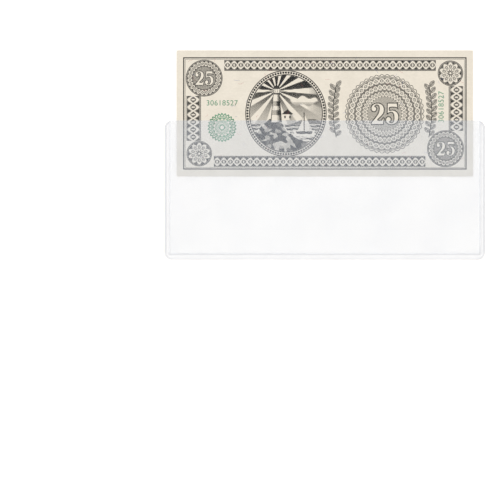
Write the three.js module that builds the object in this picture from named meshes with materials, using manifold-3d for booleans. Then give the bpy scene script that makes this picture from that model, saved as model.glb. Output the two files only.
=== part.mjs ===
// Banknote holder: a clear, stiff PVC sleeve that loads along one long edge, with a note half drawn out of it.
// Two flat sheets lie face to face over a thin pocket. They are welded together along the two short sides and
// the long bottom side, and the weld presses them into one thinner flange. The long top side is the mouth.
// Millimetres. X runs along the mouth, +Y points out of the mouth, +Z points from the back to the front.
// The origin is the middle of the sleeve's outline, on the outer face of the back sheet.
import * as THREE from "three";
import { mergeVertices } from "three/addons/utils/BufferGeometryUtils.js";
import Module from "manifold-3d";

// The note that the sleeve is made for, and how far it stands out of the mouth.
const NOTE_WIDTH = 156.1;
const NOTE_HEIGHT = 66.3;
const NOTE_THICKNESS = 0.11;
const NOTE_DRAWN_OUT = 36.9;

// Room round the note in the pocket.
const SIDE_CLEARANCE = 3.75;
const LENGTH_CLEARANCE = 3.8;
const FACE_CLEARANCE = 0.145;

// The two sheets and the welded margin on three sides.
const SHEET_THICKNESS = 0.3;
const SIDE_WELD_WIDTH = 2.7;
const BOTTOM_WELD_WIDTH = 3.4;
const FLANGE_THICKNESS = 0.56;
const SHOULDER_WIDTH = 1.0;
const BEAD_BULGE = 0.18;
const TRIM_ROUNDING = 0.14;
const CORNER_RADIUS = 4;

// Sizes that follow from those above.
const POCKET_WIDTH = NOTE_WIDTH + 2 * SIDE_CLEARANCE;
const POCKET_LENGTH = NOTE_HEIGHT + LENGTH_CLEARANCE;
const POCKET_DEPTH = NOTE_THICKNESS + 2 * FACE_CLEARANCE;
const SLEEVE_WIDTH = POCKET_WIDTH + 2 * SIDE_WELD_WIDTH;
const SLEEVE_LENGTH = POCKET_LENGTH + BOTTOM_WELD_WIDTH;
const SLEEVE_THICKNESS = POCKET_DEPTH + 2 * SHEET_THICKNESS;
const RIGHT = SLEEVE_WIDTH / 2;
const MOUTH = SLEEVE_LENGTH / 2;
const BOTTOM = -SLEEVE_LENGTH / 2;
const MIDDLE_HEIGHT = SLEEVE_THICKNESS / 2;

// Finishes: the sheets are clear and glossy, the welds a little frosted, and the note is matt.
const SHEET_FINISH = { color: 0xf3f6f8, roughness: 0.06, opacity: 0.25 };
const WELD_FINISH = { color: 0xe8ecee, roughness: 0.18, opacity: 0.4 };
const PAPER_FINISH = { color: 0xece2d2, roughness: 0.88 };

// Cutting tools reach this far past what they cut, arcs have this many steps, and points this close are one.
const CUT_MARGIN = 1;
const ARC_STEPS = 10;
const MERGE_DISTANCE = 1e-5;

const wasm = await Module();
wasm.setup();

// A closed three.js geometry as a solid for cutting.
function solidFrom(geometry) {
  const bare = geometry.clone();
  bare.deleteAttribute("normal");
  bare.deleteAttribute("uv");
  const merged = mergeVertices(bare, MERGE_DISTANCE);
  return new wasm.Manifold(
    new wasm.Mesh({
      numProp: 3,
      vertProperties: new Float32Array(merged.attributes.position.array),
      triVerts: new Uint32Array(merged.index.array),
    }),
  );
}

// A cut solid as a three.js geometry.
function geometryFrom(solid) {
  const { numProp, vertProperties, triVerts } = solid.getMesh();
  const positions = new THREE.InterleavedBuffer(vertProperties, numProp);
  const geometry = new THREE.BufferGeometry();
  geometry.setAttribute("position", new THREE.InterleavedBufferAttribute(positions, 3, 0));
  geometry.setIndex(new THREE.BufferAttribute(triVerts, 1));
  const flat = geometry.toNonIndexed();
  flat.computeVertexNormals();
  return flat;
}

// A plan outline raised from one height to another.
function prism(outline, low, high) {
  const options = { depth: high - low, bevelEnabled: false, curveSegments: ARC_STEPS };
  return new THREE.ExtrudeGeometry(outline, options).translate(0, 0, low);
}

// The sleeve as the trimming die cuts it: a rectangle with four round corners.
function sleeveOutline() {
  const outline = new THREE.Shape();
  const inX = RIGHT - CORNER_RADIUS;
  const inY = MOUTH - CORNER_RADIUS;
  outline.moveTo(-inX, BOTTOM);
  outline.absarc(inX, -inY, CORNER_RADIUS, -Math.PI / 2, 0);
  outline.absarc(inX, inY, CORNER_RADIUS, 0, Math.PI / 2);
  outline.absarc(-inX, inY, CORNER_RADIUS, Math.PI / 2, Math.PI);
  outline.absarc(-inX, -inY, CORNER_RADIUS, Math.PI, 1.5 * Math.PI);
  return outline;
}

function polygon(...corners) {
  return new THREE.Shape(corners.map(([x, y]) => new THREE.Vector2(x, y)));
}

const trimmed = solidFrom(prism(sleeveOutline(), -CUT_MARGIN, SLEEVE_THICKNESS + CUT_MARGIN));

// One sheet over the pocket, from the welds' inner lines to the mouth.
function sheetGeometry() {
  const left = -POCKET_WIDTH / 2;
  const right = POCKET_WIDTH / 2;
  const low = BOTTOM + BOTTOM_WELD_WIDTH;
  const rectangle = polygon([left, low], [right, low], [right, MOUTH], [left, MOUTH]);
  return geometryFrom(solidFrom(prism(rectangle, 0, SHEET_THICKNESS)).intersect(trimmed));
}

// A weld's section. x runs inwards from the trimmed edge, and y = 0 is the middle of the sleeve's thickness. The
// section has the rounded cut edge, the pressed flange, the shoulders that rise to the sheets' outer faces, and
// the bead of plastic squeezed out into the pocket. The bead's curve reaches half way to its control point.
function weldSection(width) {
  const flange = FLANGE_THICKNESS / 2;
  const face = SLEEVE_THICKNESS / 2;
  const bead = POCKET_DEPTH / 2;
  const foot = width - SHOULDER_WIDTH;
  const bend = SHOULDER_WIDTH / 2;
  const section = new THREE.Shape();
  section.moveTo(TRIM_ROUNDING, -flange);
  section.lineTo(foot, -flange);
  section.bezierCurveTo(foot + bend, -flange, width - bend, -face, width, -face);
  section.lineTo(width, -bead);
  section.quadraticCurveTo(width + 2 * BEAD_BULGE, 0, width, bead);
  section.lineTo(width, face);
  section.bezierCurveTo(width - bend, face, foot + bend, flange, foot, flange);
  section.lineTo(TRIM_ROUNDING, flange);
  section.absarc(TRIM_ROUNDING, flange - TRIM_ROUNDING, TRIM_ROUNDING, Math.PI / 2, Math.PI);
  section.absarc(TRIM_ROUNDING, TRIM_ROUNDING - flange, TRIM_ROUNDING, Math.PI, 1.5 * Math.PI);
  return section;
}

// A straight weld: its section swept along +Z of its own frame, then turned to lie along its side of the sleeve.
// inward is the way from the trimmed edge to the pocket, and start a point on the trimmed edge.
function weldBar(width, length, start, inward) {
  const options = { depth: length, bevelEnabled: false, curveSegments: ARC_STEPS };
  const bar = new THREE.ExtrudeGeometry(weldSection(width), options);
  const up = new THREE.Vector3(0, 0, 1);
  const along = new THREE.Vector3().crossVectors(inward, up);
  const place = new THREE.Matrix4().makeBasis(inward, up, along).setPosition(start);
  return solidFrom(bar.applyMatrix4(place));
}

// The welds meet on mitres: lines from the outline's square corner through the pocket's corner. How far along
// such a line a cut runs is counted in weld widths, from just outside the sleeve to past the bead.
const MITRE_OUTSIDE = -CUT_MARGIN;
const MITRE_INSIDE = 1 + CUT_MARGIN;

function mitrePoint(side, share) {
  return [side * (RIGHT - share * SIDE_WELD_WIDTH), BOTTOM + share * BOTTOM_WELD_WIDTH];
}

// The weld along a short side: side is -1 for the left one and 1 for the right one.
function sideWeldGeometry(side) {
  const inward = new THREE.Vector3(-side, 0, 0);
  const start = new THREE.Vector3(side * RIGHT, side < 0 ? MOUTH : BOTTOM, MIDDLE_HEIGHT);
  const bar = weldBar(SIDE_WELD_WIDTH, SLEEVE_LENGTH, start, inward);
  const [outerX, outerY] = mitrePoint(side, MITRE_OUTSIDE);
  const [innerX, innerY] = mitrePoint(side, MITRE_INSIDE);
  const beyond = MOUTH + CUT_MARGIN;
  const corners = [[outerX, outerY], [innerX, innerY], [innerX, beyond], [outerX, beyond]];
  const plan = polygon(...(side < 0 ? corners : corners.reverse()));
  const mitre = solidFrom(prism(plan, -CUT_MARGIN, SLEEVE_THICKNESS + CUT_MARGIN));
  return geometryFrom(bar.intersect(trimmed).intersect(mitre));
}

function bottomWeldGeometry() {
  const inward = new THREE.Vector3(0, 1, 0);
  const start = new THREE.Vector3(-RIGHT, BOTTOM, MIDDLE_HEIGHT);
  const bar = weldBar(BOTTOM_WELD_WIDTH, SLEEVE_WIDTH, start, inward);
  const plan = polygon(
    mitrePoint(-1, MITRE_OUTSIDE),
    mitrePoint(1, MITRE_OUTSIDE),
    mitrePoint(1, MITRE_INSIDE),
    mitrePoint(-1, MITRE_INSIDE),
  );
  const mitre = solidFrom(prism(plan, -CUT_MARGIN, SLEEVE_THICKNESS + CUT_MARGIN));
  return geometryFrom(bar.intersect(trimmed).intersect(mitre));
}

function clearPlastic(finish) {
  return new THREE.MeshStandardMaterial({ ...finish, metalness: 0, transparent: true });
}

function piece(name, geometry, material) {
  const mesh = new THREE.Mesh(geometry, material);
  mesh.name = name;
  return mesh;
}

// The sleeve, which nothing takes apart: two sheets and the three welds that join them.
const sleeve = new THREE.Group();
const backSheet = piece("back_sheet", sheetGeometry(), clearPlastic(SHEET_FINISH));
const frontSheet = piece("front_sheet", sheetGeometry(), clearPlastic(SHEET_FINISH));
frontSheet.position.z = SHEET_THICKNESS + POCKET_DEPTH;
const leftWeld = piece("left_weld", sideWeldGeometry(-1), clearPlastic(WELD_FINISH));
const rightWeld = piece("right_weld", sideWeldGeometry(1), clearPlastic(WELD_FINISH));
const bottomWeld = piece("bottom_weld", bottomWeldGeometry(), clearPlastic(WELD_FINISH));
sleeve.add(backSheet, frontSheet, leftWeld, rightWeld, bottomWeld);

// The note, half way through the pocket's thickness, drawn out of the mouth.
const notePaper = new THREE.MeshStandardMaterial({ ...PAPER_FINISH, metalness: 0 });
const banknote = piece("banknote", new THREE.BoxGeometry(NOTE_WIDTH, NOTE_HEIGHT, NOTE_THICKNESS), notePaper);
banknote.position.set(0, MOUTH + NOTE_DRAWN_OUT - NOTE_HEIGHT / 2, MIDDLE_HEIGHT);

const banknoteHolder = new THREE.Group();
banknoteHolder.add(sleeve, banknote);

export default banknoteHolder;
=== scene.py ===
import math

import bmesh
import bpy
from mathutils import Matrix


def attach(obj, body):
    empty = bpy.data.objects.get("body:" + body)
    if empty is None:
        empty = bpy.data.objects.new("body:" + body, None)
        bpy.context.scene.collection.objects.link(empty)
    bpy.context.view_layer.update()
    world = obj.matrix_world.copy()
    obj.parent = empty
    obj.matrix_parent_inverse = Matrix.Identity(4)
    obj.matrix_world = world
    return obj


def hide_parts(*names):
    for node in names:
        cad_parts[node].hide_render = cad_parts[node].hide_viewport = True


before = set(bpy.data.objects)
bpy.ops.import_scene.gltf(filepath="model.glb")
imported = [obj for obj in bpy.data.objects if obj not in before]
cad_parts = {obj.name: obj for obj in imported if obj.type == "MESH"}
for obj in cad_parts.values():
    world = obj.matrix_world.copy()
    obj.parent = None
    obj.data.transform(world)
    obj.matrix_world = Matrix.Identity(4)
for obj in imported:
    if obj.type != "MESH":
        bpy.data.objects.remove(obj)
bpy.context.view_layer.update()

# Sleeve sheets.
# Two flat sheets of clear, glossy PVC with a thin pocket between them, cut from rolled film that is slightly
# wavy and finely scratched. The front one is cooler in tint, so paper under it looks greyer.
MM = 0.001
SLEEVE_HALF_WIDTH = 84.5
SLEEVE_HALF_LENGTH = 36.75
SLEEVE_THICKNESS = 1.0
CORNER_RADIUS = 4.0
SIDE_WELD = 2.7
BOTTOM_WELD = 3.4
SHEET_THICKNESS = 0.3
SHEET_SEAM_GAP = 0.02
SHEET_EDGE_ROUND = 0.03
SHEET_CORNER_ROUND = 0.33
SHEET_HALF_WIDTH = SLEEVE_HALF_WIDTH - SIDE_WELD - SHEET_SEAM_GAP
SHEET_LOW = BOTTOM_WELD + SHEET_SEAM_GAP - SLEEVE_HALF_LENGTH
SHEET_BOTTOMS = {"back": 0.0, "front": SLEEVE_THICKNESS - SHEET_THICKNESS}
CORNER_STEPS = 6
CLOSED_SEAM = 1e-7
PVC_INDEX = 1.53
PVC_CLARITY = 0.93
SCRATCHES_ALONG = (90.0, 5200.0, 900.0)
SCRATCHES_ACROSS = (4100.0, 130.0, 900.0)
SHEET_HAZE = (45.0, 45.0, 45.0)
ROLLED_WAVES = (14.0, 38.0, 1.0)
SHEET_SHADE = (0.95, 0.95, 0.95, 1.0)
SHEET_TINTS = {
    "back": ((1.0, 0.976, 0.934, 1.0), (0.985, 0.961, 0.92, 1.0)),
    "front": ((0.865, 0.903, 0.97, 1.0), (0.847, 0.887, 0.958, 1.0)),
}
scene = bpy.context.scene


def finished_piece(name, mesh, material):
    """A plain mesh as an object at the origin."""
    mesh.name = name
    mesh.materials.clear()
    mesh.materials.append(material)
    made = bpy.data.objects.new(name, mesh)
    scene.collection.objects.link(made)
    return made


def plate_outline(half_width, low, high, rounds, inset):
    """Points, in millimetres, round a plate drawn in by inset all round. rounds gives, for the low corners
    and then the high ones, an arc's radius and how far outside the plate's own side the arc would start."""
    right = []
    for end, way, (radius, outside) in ((low, -1, rounds[0]), (high, 1, rounds[1])):
        reach = radius - inset
        centre_x, centre_y = half_width + outside - radius, end - way * radius
        from_side = math.acos((reach - outside) / reach)
        arc = []
        for step in range(CORNER_STEPS + 1):
            angle = from_side + (math.pi / 2 - from_side) * step / CORNER_STEPS
            arc.append((centre_x + reach * math.cos(angle), centre_y + way * reach * math.sin(angle)))
        right += arc[::way]
    return right + [(-x, y) for x, y in reversed(right)]


def ring_solid(name, rings):
    """A closed solid through rings of points, in millimetres, with caps on the first ring and the last."""
    solid = bmesh.new()
    rows = [[solid.verts.new((x * MM, y * MM, z * MM)) for x, y, z in ring] for ring in rings]
    for one, following in zip(rows, rows[1:]):
        for i in range(len(one)):
            j = (i + 1) % len(one)
            solid.faces.new((one[i], one[j], following[j], following[i]))
    solid.faces.new(rows[0])
    solid.faces.new(rows[-1])
    bmesh.ops.remove_doubles(solid, verts=solid.verts, dist=CLOSED_SEAM)
    bmesh.ops.recalc_face_normals(solid, faces=solid.faces)
    mesh = bpy.data.meshes.new(name)
    solid.to_mesh(mesh)
    solid.free()
    return mesh


def plate_mesh(name, shape, bottom, top, edge):
    """A flat plate of a shape that plate_outline draws, with a chamfer round both rims."""
    rims = ((edge, bottom), (0, bottom + edge), (0, top - edge), (edge, top))
    return ring_solid(name, [[(x, y, z) for x, y in plate_outline(*shape, inset)] for inset, z in rims])


class Value:
    """The output of a node, ready for arithmetic: each operator adds the Math node that works it out."""

    def __init__(self, plan, socket):
        self.plan = plan
        self.socket = socket

    def math(self, operation, *others):
        made = self.plan.tree.nodes.new("ShaderNodeMath")
        made.operation = operation
        for place, operand in enumerate((self, *others)):
            self.plan.feed(made.inputs[place], operand)
        return Value(self.plan, made.outputs[0])

    def __add__(self, other):
        return self.math("ADD", other)

    def __sub__(self, other):
        return self.math("SUBTRACT", other)

    def __rsub__(self, other):
        return self.math("MULTIPLY_ADD", -1.0, other)

    def __mul__(self, other):
        return self.math("MULTIPLY", other)

    def __truediv__(self, other):
        return self.math("DIVIDE", other)

    __radd__ = __add__
    __rmul__ = __mul__

    def __abs__(self):
        return self.math("ABSOLUTE")

    def beside(self, name):
        """Another output of the same node."""
        return Value(self.plan, self.socket.node.outputs[name])


class Plan:
    """A node tree while it is drawn up. node() adds any node: its type, its sockets, then its settings."""

    def __init__(self, tree):
        self.tree = tree

    def feed(self, socket, source):
        if isinstance(source, Value):
            self.tree.links.new(source.socket, socket)
        else:
            socket.default_value = source

    def node(self, kind, sockets=None, settings=None, out=0):
        made = self.tree.nodes.new(kind)
        for name, setting in (settings or {}).items():
            setattr(made, name, setting)
        for name, source in (sockets or {}).items():
            self.feed(made.inputs[name], source)
        return Value(self, made.outputs[out]) if made.outputs else made


def material_plan(name):
    """A new material with an empty node tree."""
    material = bpy.data.materials.new(name)
    material.use_nodes = True
    material.node_tree.nodes.clear()
    return material, Plan(material.node_tree)


def noise(plan, scale, detail=2.0):
    """Noise over Object coordinates, as many grains to the metre along each axis as scale says."""
    place = plan.node("ShaderNodeTexCoord", out="Object")
    place = plan.node("ShaderNodeMapping", {"Vector": place, "Scale": scale})
    return plan.node("ShaderNodeTexNoise", {"Vector": place, "Scale": 1.0, "Detail": detail})


def between(value, low, high, first, last):
    """Value moved from the range low to high onto first to last, and held inside it."""
    sockets = {"Value": value, "From Min": low, "From Max": high, "To Min": first, "To Max": last}
    return value.plan.node("ShaderNodeMapRange", sockets, {"interpolation_type": "SMOOTHSTEP"})


def tinted(share, first, last):
    """A colour between two, by a share from 0 to 1."""
    return share.plan.node("ShaderNodeMix", {0: share, 6: first, 7: last}, {"data_type": "RGBA"}, out=2)


def bump(height, strength, distance):
    """The normal of a surface that rises and falls with a height. distance is in metres."""
    return height.plan.node("ShaderNodeBump", {"Height": height, "Strength": strength, "Distance": distance})


def clear_surface(plan, sockets, shade):
    """Ends a clear plastic's tree: lamps shine through it, so that what it covers is lit."""
    clarity = {"IOR": PVC_INDEX, "Transmission Weight": PVC_CLARITY}
    plastic = plan.node("ShaderNodeBsdfPrincipled", sockets | clarity)
    passing = plan.node("ShaderNodeBsdfTransparent", {"Color": shade})
    lamp_ray = plan.node("ShaderNodeLightPath", out="Is Shadow Ray")
    surface = plan.node("ShaderNodeMixShader", {0: lamp_ray, 1: plastic, 2: passing})
    plan.node("ShaderNodeOutputMaterial", {"Surface": surface})


def sheet_plastic(name, clear, hazy):
    """Glossy film with hairline scratches, hazier in some places than in others."""
    material, plan = material_plan(name)
    along = between(noise(plan, SCRATCHES_ALONG, 0.0), 0.70, 0.78, 0.0, 0.12)
    across = between(noise(plan, SCRATCHES_ACROSS, 0.0), 0.72, 0.80, 0.0, 0.12)
    haze = noise(plan, SHEET_HAZE, 3.0)
    sockets = {
        "Base Color": tinted(between(haze, 0.35, 0.75, 0.0, 1.0), clear, hazy),
        "Roughness": between(haze, 0.3, 0.7, 0.02, 0.055) + along + across,
        "Normal": bump(noise(plan, ROLLED_WAVES, 1.0), 0.12, 0.0004),
    }
    clear_surface(plan, sockets, SHEET_SHADE)
    return material


sheet_rounds = ((SHEET_CORNER_ROUND, 0.0), (CORNER_RADIUS, SIDE_WELD + SHEET_SEAM_GAP))
sheet_shape = (SHEET_HALF_WIDTH, SHEET_LOW, SLEEVE_HALF_LENGTH, sheet_rounds)
for side, bottom in SHEET_BOTTOMS.items():
    sheet_mesh = plate_mesh(side, sheet_shape, bottom, bottom + SHEET_THICKNESS, SHEET_EDGE_ROUND)
    sheet_finish = sheet_plastic(f"clear_{side}_plastic", *SHEET_TINTS[side])
    sheet = finished_piece(f"clear_{side}_sheet", sheet_mesh, sheet_finish)
    # Light that paper and table scatter passes the clear plastic as if it were not there.
    sheet.visible_diffuse = False
    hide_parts(f"{side}_sheet")
    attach(sheet, "sleeve")

# Welded margin.
# A heated bar fuses the two sheets along the left, bottom and right sides. It presses them into one thinner,
# slightly frosted flange, and squeezes a small bead of plastic into the pocket. A die trims the outline.
FLANGE_THICKNESS = 0.56
SHOULDER_WIDTH = 1.0
BEAD_BULGE = 0.18
TRIM_ROUND = 0.14
INNER_CORNER_RADIUS = SHEET_CORNER_ROUND
POCKET_DEPTH = SLEEVE_THICKNESS - 2 * SHEET_THICKNESS
SHOULDER_STEPS = 8
BEAD_STEPS = 6
TRIM_STEPS = 4
TURN_STEPS = 12
WELD_CREASE = math.radians(10)
# Bands where the weld turns grey along the cut and on the shoulder, partly as painted shade.
CUT_FACE_BAND = (0.04, 0.2)
CUT_EDGE_BAND = (0.95, 1.4)
SHOULDER_DARKENS = (-1.0, -0.65)
SHOULDER_CLEARS = (-0.35, 0.0)
SHADE_CORNER = 0.3
WELD_FROST = (2600.0, 2600.0, 2600.0)
WELD_PATCHES = (120.0, 120.0, 120.0)
WELD_CLEAR = (0.83, 0.852, 0.892, 1.0)
WELD_HAZE_AND_SHADE = (0.70, 0.725, 0.772, 1.0)
WELD_SHADE = (0.915, 0.925, 0.945, 1.0)


def weld_height(inward, width):
    """Half the weld's thickness at a distance from its cut edge: flat, then an easy rise to the sheets."""
    flat, full = FLANGE_THICKNESS / 2, SLEEVE_THICKNESS / 2
    share = min(max((inward - width + SHOULDER_WIDTH) / SHOULDER_WIDTH, 0.0), 1.0)
    return flat + (full - flat) * share * share * (3 - 2 * share)


def weld_section(width, trimmed):
    """The weld's section as points: distance from the sleeve's side, and height over its middle plane. One
    point just outside the shoulder keeps the flange flat in the light."""
    upper = []
    for step in range(TRIM_STEPS + 1):
        angle = math.pi / 2 * step / TRIM_STEPS
        inward = trimmed + TRIM_ROUND * (1 - math.cos(angle))
        upper.append((inward, weld_height(inward, width) - TRIM_ROUND * (1 - math.sin(angle))))
    for step in range(-1, SHOULDER_STEPS + 1):
        inward = width - SHOULDER_WIDTH * (1 - step / SHOULDER_STEPS)
        inward = max(inward, min(trimmed + TRIM_ROUND, width))
        upper.append((inward, weld_height(inward, width)))
    bead = []
    for step in range(BEAD_STEPS + 1):
        share = 1 - 2 * step / BEAD_STEPS
        bead.append((width + BEAD_BULGE * (1 - share * share), share * POCKET_DEPTH / 2))
    return upper + bead + [(inward, -height) for inward, height in reversed(upper)]


def weld_stations():
    """Stations from the left mouth corner round to the right one: a point on the sleeve's side, one on the
    pocket's edge, the weld's width between them, and how much of it the mouth's round corner cuts off."""
    stations = []
    mouth_turn = math.acos(1 - (SIDE_WELD - TRIM_ROUND) / CORNER_RADIUS)
    for step in range(TURN_STEPS + 1):
        angle = mouth_turn * (1 - step / TURN_STEPS)
        trimmed = CORNER_RADIUS * (1 - math.cos(angle))
        y = SLEEVE_HALF_LENGTH - CORNER_RADIUS * (1 - math.sin(angle))
        stations.append(((-SLEEVE_HALF_WIDTH, y), (SIDE_WELD - SLEEVE_HALF_WIDTH, y), SIDE_WELD, trimmed))
    outer_x, outer_y = CORNER_RADIUS - SLEEVE_HALF_WIDTH, CORNER_RADIUS - SLEEVE_HALF_LENGTH
    inner_x = SIDE_WELD + INNER_CORNER_RADIUS - SLEEVE_HALF_WIDTH
    inner_y = BOTTOM_WELD + INNER_CORNER_RADIUS - SLEEVE_HALF_LENGTH
    for step in range(TURN_STEPS + 1):
        turn = step / TURN_STEPS
        cosine, sine = -math.cos(math.pi / 2 * turn), -math.sin(math.pi / 2 * turn)
        outer = (outer_x + CORNER_RADIUS * cosine, outer_y + CORNER_RADIUS * sine)
        inner = (inner_x + INNER_CORNER_RADIUS * cosine, inner_y + INNER_CORNER_RADIUS * sine)
        stations.append((outer, inner, SIDE_WELD + (BOTTOM_WELD - SIDE_WELD) * turn, 0.0))
    mirrored = [((-ox, oy), (-ix, iy), width, cut) for (ox, oy), (ix, iy), width, cut in reversed(stations)]
    return stations + mirrored


def weld_mesh():
    """The weld's section swept through its stations."""
    rings = []
    for (outer_x, outer_y), (inner_x, inner_y), width, trimmed in weld_stations():
        ring = []
        for inward, height in weld_section(width, trimmed):
            share = inward / width
            x = outer_x + (inner_x - outer_x) * share
            y = outer_y + (inner_y - outer_y) * share
            ring.append((x, y, SLEEVE_THICKNESS / 2 + height))
        rings.append(ring)
    mesh = ring_solid("weld", rings)
    mesh.shade_smooth()
    mesh.set_sharp_from_angle(angle=WELD_CREASE)
    return mesh


def length(x, y):
    return (x * x + y * y).math("SQRT")


def edge_distance(x, y, half_width, low, high, radius):
    """How far inside a rectangle with round corners a point lies. The rectangle is centred on X."""
    across = abs(x) - (half_width - radius)
    along = abs(y - (low + high) / 2) - ((high - low) / 2 - radius)
    outside = length(across.math("MAXIMUM", 0.0), along.math("MAXIMUM", 0.0))
    return radius - outside - across.math("MAXIMUM", along).math("MINIMUM", 0.0)


def weld_plastic():
    """Pressed film, a little frosted, and rough where it is cut. It is grey along the cut, partly from the
    cut's own haze and partly as painted shade, less so at the bottom, and in a line of painted shade on the
    shoulder: strong at the bottom, faint at the right and none at the left."""
    material, plan = material_plan("pressed_weld_plastic")
    half_width, half_length = SLEEVE_HALF_WIDTH, SLEEVE_HALF_LENGTH
    pocket_low = BOTTOM_WELD - half_length
    straight = half_width - CORNER_RADIUS
    place = plan.node("ShaderNodeTexCoord", out="Object")
    place = plan.node("ShaderNodeSeparateXYZ", {"Vector": place})
    x, y = place / MM, place.beside("Y") / MM
    from_cut = edge_distance(x, y, half_width, -half_length, half_length, CORNER_RADIUS)
    from_pocket = edge_distance(x, y, half_width - SIDE_WELD, pocket_low, half_length * 2, SHADE_CORNER)
    at_bottom = between(y, pocket_low, pocket_low + 1.0, 1.0, 0.0)
    at_right = between(x, 0.0, half_width, 0.0, 0.3)
    fading = between(abs(x), straight - 1.0, straight + 2.0, 0.7, 0.4)
    # Painted shade, with some real haze: a grey band along the cut stands in for the dark line at the edge,
    # weaker along the bottom.
    cut_haze_and_shade = between(from_cut, *CUT_EDGE_BAND, 1.0, 0.0) * (1.0 - at_bottom * fading)
    cut_face = between(from_cut, *CUT_FACE_BAND, 1.0, 0.0)
    # Painted shade on the shoulder: strong at the bottom, faint at the right, none at the left.
    shoulder = between(from_pocket, *SHOULDER_DARKENS, 0.0, 1.0)
    shoulder = shoulder * between(from_pocket, *SHOULDER_CLEARS, 1.0, 0.0)
    shoulder = shoulder * at_bottom.math("MAXIMUM", at_right)
    frost = noise(plan, WELD_FROST, 3.0)
    patches = noise(plan, WELD_PATCHES)
    # Grey from painted shade along the cut and on the shoulder, plus greyer patches of haze.
    haze_and_painted_shade = cut_haze_and_shade.math("MAXIMUM", shoulder) + between(patches, 0.35, 0.75, 0.0, 0.2)
    frosted = between(frost, 0.45, 0.7, 0.0, 0.05) + between(patches, 0.3, 0.7, 0.04, 0.09)
    sockets = {
        "Base Color": tinted(haze_and_painted_shade.math("MINIMUM", 1.0), WELD_CLEAR, WELD_HAZE_AND_SHADE),
        "Roughness": frosted + cut_haze_and_shade * 0.06 + cut_face * 0.45,
        "Normal": bump(frost, 0.1, 0.000015),
    }
    clear_surface(plan, sockets, WELD_SHADE)
    return material


welded_margin = finished_piece("welded_margin", weld_mesh(), weld_plastic())
welded_margin.visible_diffuse = False
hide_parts("left_weld", "right_weld", "bottom_weld")
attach(welded_margin, "sleeve")

# Note paper.
# One sheet of tough off-white rag paper, cut square. It slides in the pocket, and here it stands a little
# more than half way out of the mouth.
NOTE_HALF_WIDTH = 78.05
NOTE_HALF_HEIGHT = 33.15
NOTE_THICKNESS = 0.11
NOTE_MIDDLE_Y = 40.5
NOTE_CORNER_ROUND = 0.15
NOTE_EDGE_ROUND = 0.015
NOTE_BACK = (SLEEVE_THICKNESS - NOTE_THICKNESS) / 2
NOTE_FRONT = NOTE_BACK + NOTE_THICKNESS
PAPER_FIBRES = (900.0, 1500.0, 900.0)
PAPER_CLOUDS = (130.0, 130.0, 130.0)
PAPER_DARK = (0.80, 0.735, 0.625, 1.0)
PAPER_LIGHT = (0.88, 0.81, 0.695, 1.0)


def plain_surface(plan, sockets):
    """Ends the tree of a material that light doesn't pass."""
    surface = plan.node("ShaderNodeBsdfPrincipled", sockets)
    plan.node("ShaderNodeOutputMaterial", {"Surface": surface})


def note_paper():
    """Matt paper, mottled by its fibres."""
    material, plan = material_plan("rag_paper")
    fibre = noise(plan, PAPER_FIBRES, 4.0)
    cloud = noise(plan, PAPER_CLOUDS, 3.0)
    share = between(fibre, 0.3, 0.7, 0.0, 0.55) + between(cloud, 0.35, 0.65, 0.0, 0.45)
    sockets = {
        "Base Color": tinted(share, PAPER_DARK, PAPER_LIGHT),
        "Roughness": between(fibre, 0.3, 0.7, 0.8, 0.92),
        "Normal": bump(fibre, 0.25, 0.00004),
    }
    plain_surface(plan, sockets)
    return material


paper_finish = note_paper()
note_low, note_high = NOTE_MIDDLE_Y - NOTE_HALF_HEIGHT, NOTE_MIDDLE_Y + NOTE_HALF_HEIGHT
note_rounds = ((NOTE_CORNER_ROUND, 0.0), (NOTE_CORNER_ROUND, 0.0))
note_shape = (NOTE_HALF_WIDTH, note_low, note_high, note_rounds)
note_mesh = plate_mesh("note", note_shape, NOTE_BACK, NOTE_FRONT, NOTE_EDGE_ROUND)
note_sheet = finished_piece("note_sheet", note_mesh, paper_finish)
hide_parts("banknote")
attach(note_sheet, "note")

# Border lacework.
# The note is printed from engraved plates, which leave low ridges of ink on the paper. The border is a
# double frame of rules round four bands of fine ruled lines, which thin out to leave a pale braid.
NOTE_FACES = {False: (NOTE_FRONT, 1.0), True: (NOTE_BACK, -1.0)}
INK_HEIGHT = 0.018
INK_CREASE = math.radians(38)
INK_PATCHES = (160.0, 160.0, 160.0)
BLACK = (0.016, 0.0165, 0.0155, 1.0)
THIN_BLACK = (0.04, 0.041, 0.038, 1.0)
RIDGE_SIDES = 3
CAP_HEIGHT = 0.4
NEARLY_END = 0.4999
COURSE_STEP = 0.002
SHORTEST_RUN = 1e-6
LINE_PITCH = 0.45
LINE_FULLNESS = 0.94
FINEST_LINE = 0.05
RULE_STEPS = 2
BRAID_STEP = 0.35
LACE_SWAY = 0.64
LACE_STRAND = (0.15, 0.28)
LACE_DOT = (0.2, 0.34)
LACE_RIM = (0.9, 1.0)
FRAME_HALF_SIZE = (74.4, 29.3)
INNER_FRAME_HALF_SIZE = (73.6, 28.5)
LONG_BANDS = (((-53.0, 25.5), (58.5, 25.5)), ((-58.5, -25.5), (53.0, -25.5)))
SIDE_BANDS = (((-69.4, 9.2), (-69.4, -14.4)), ((69.4, -9.2), (69.4, 14.4)))
BORDER_RULES = (
    ((-53.0, 22.6), (58.5, 22.6)),
    ((-58.5, -22.6), (53.0, -22.6)),
    ((-65.5, -14.4), (-65.5, 9.2)),
    ((65.5, -9.2), (65.5, 14.4)),
)


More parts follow.
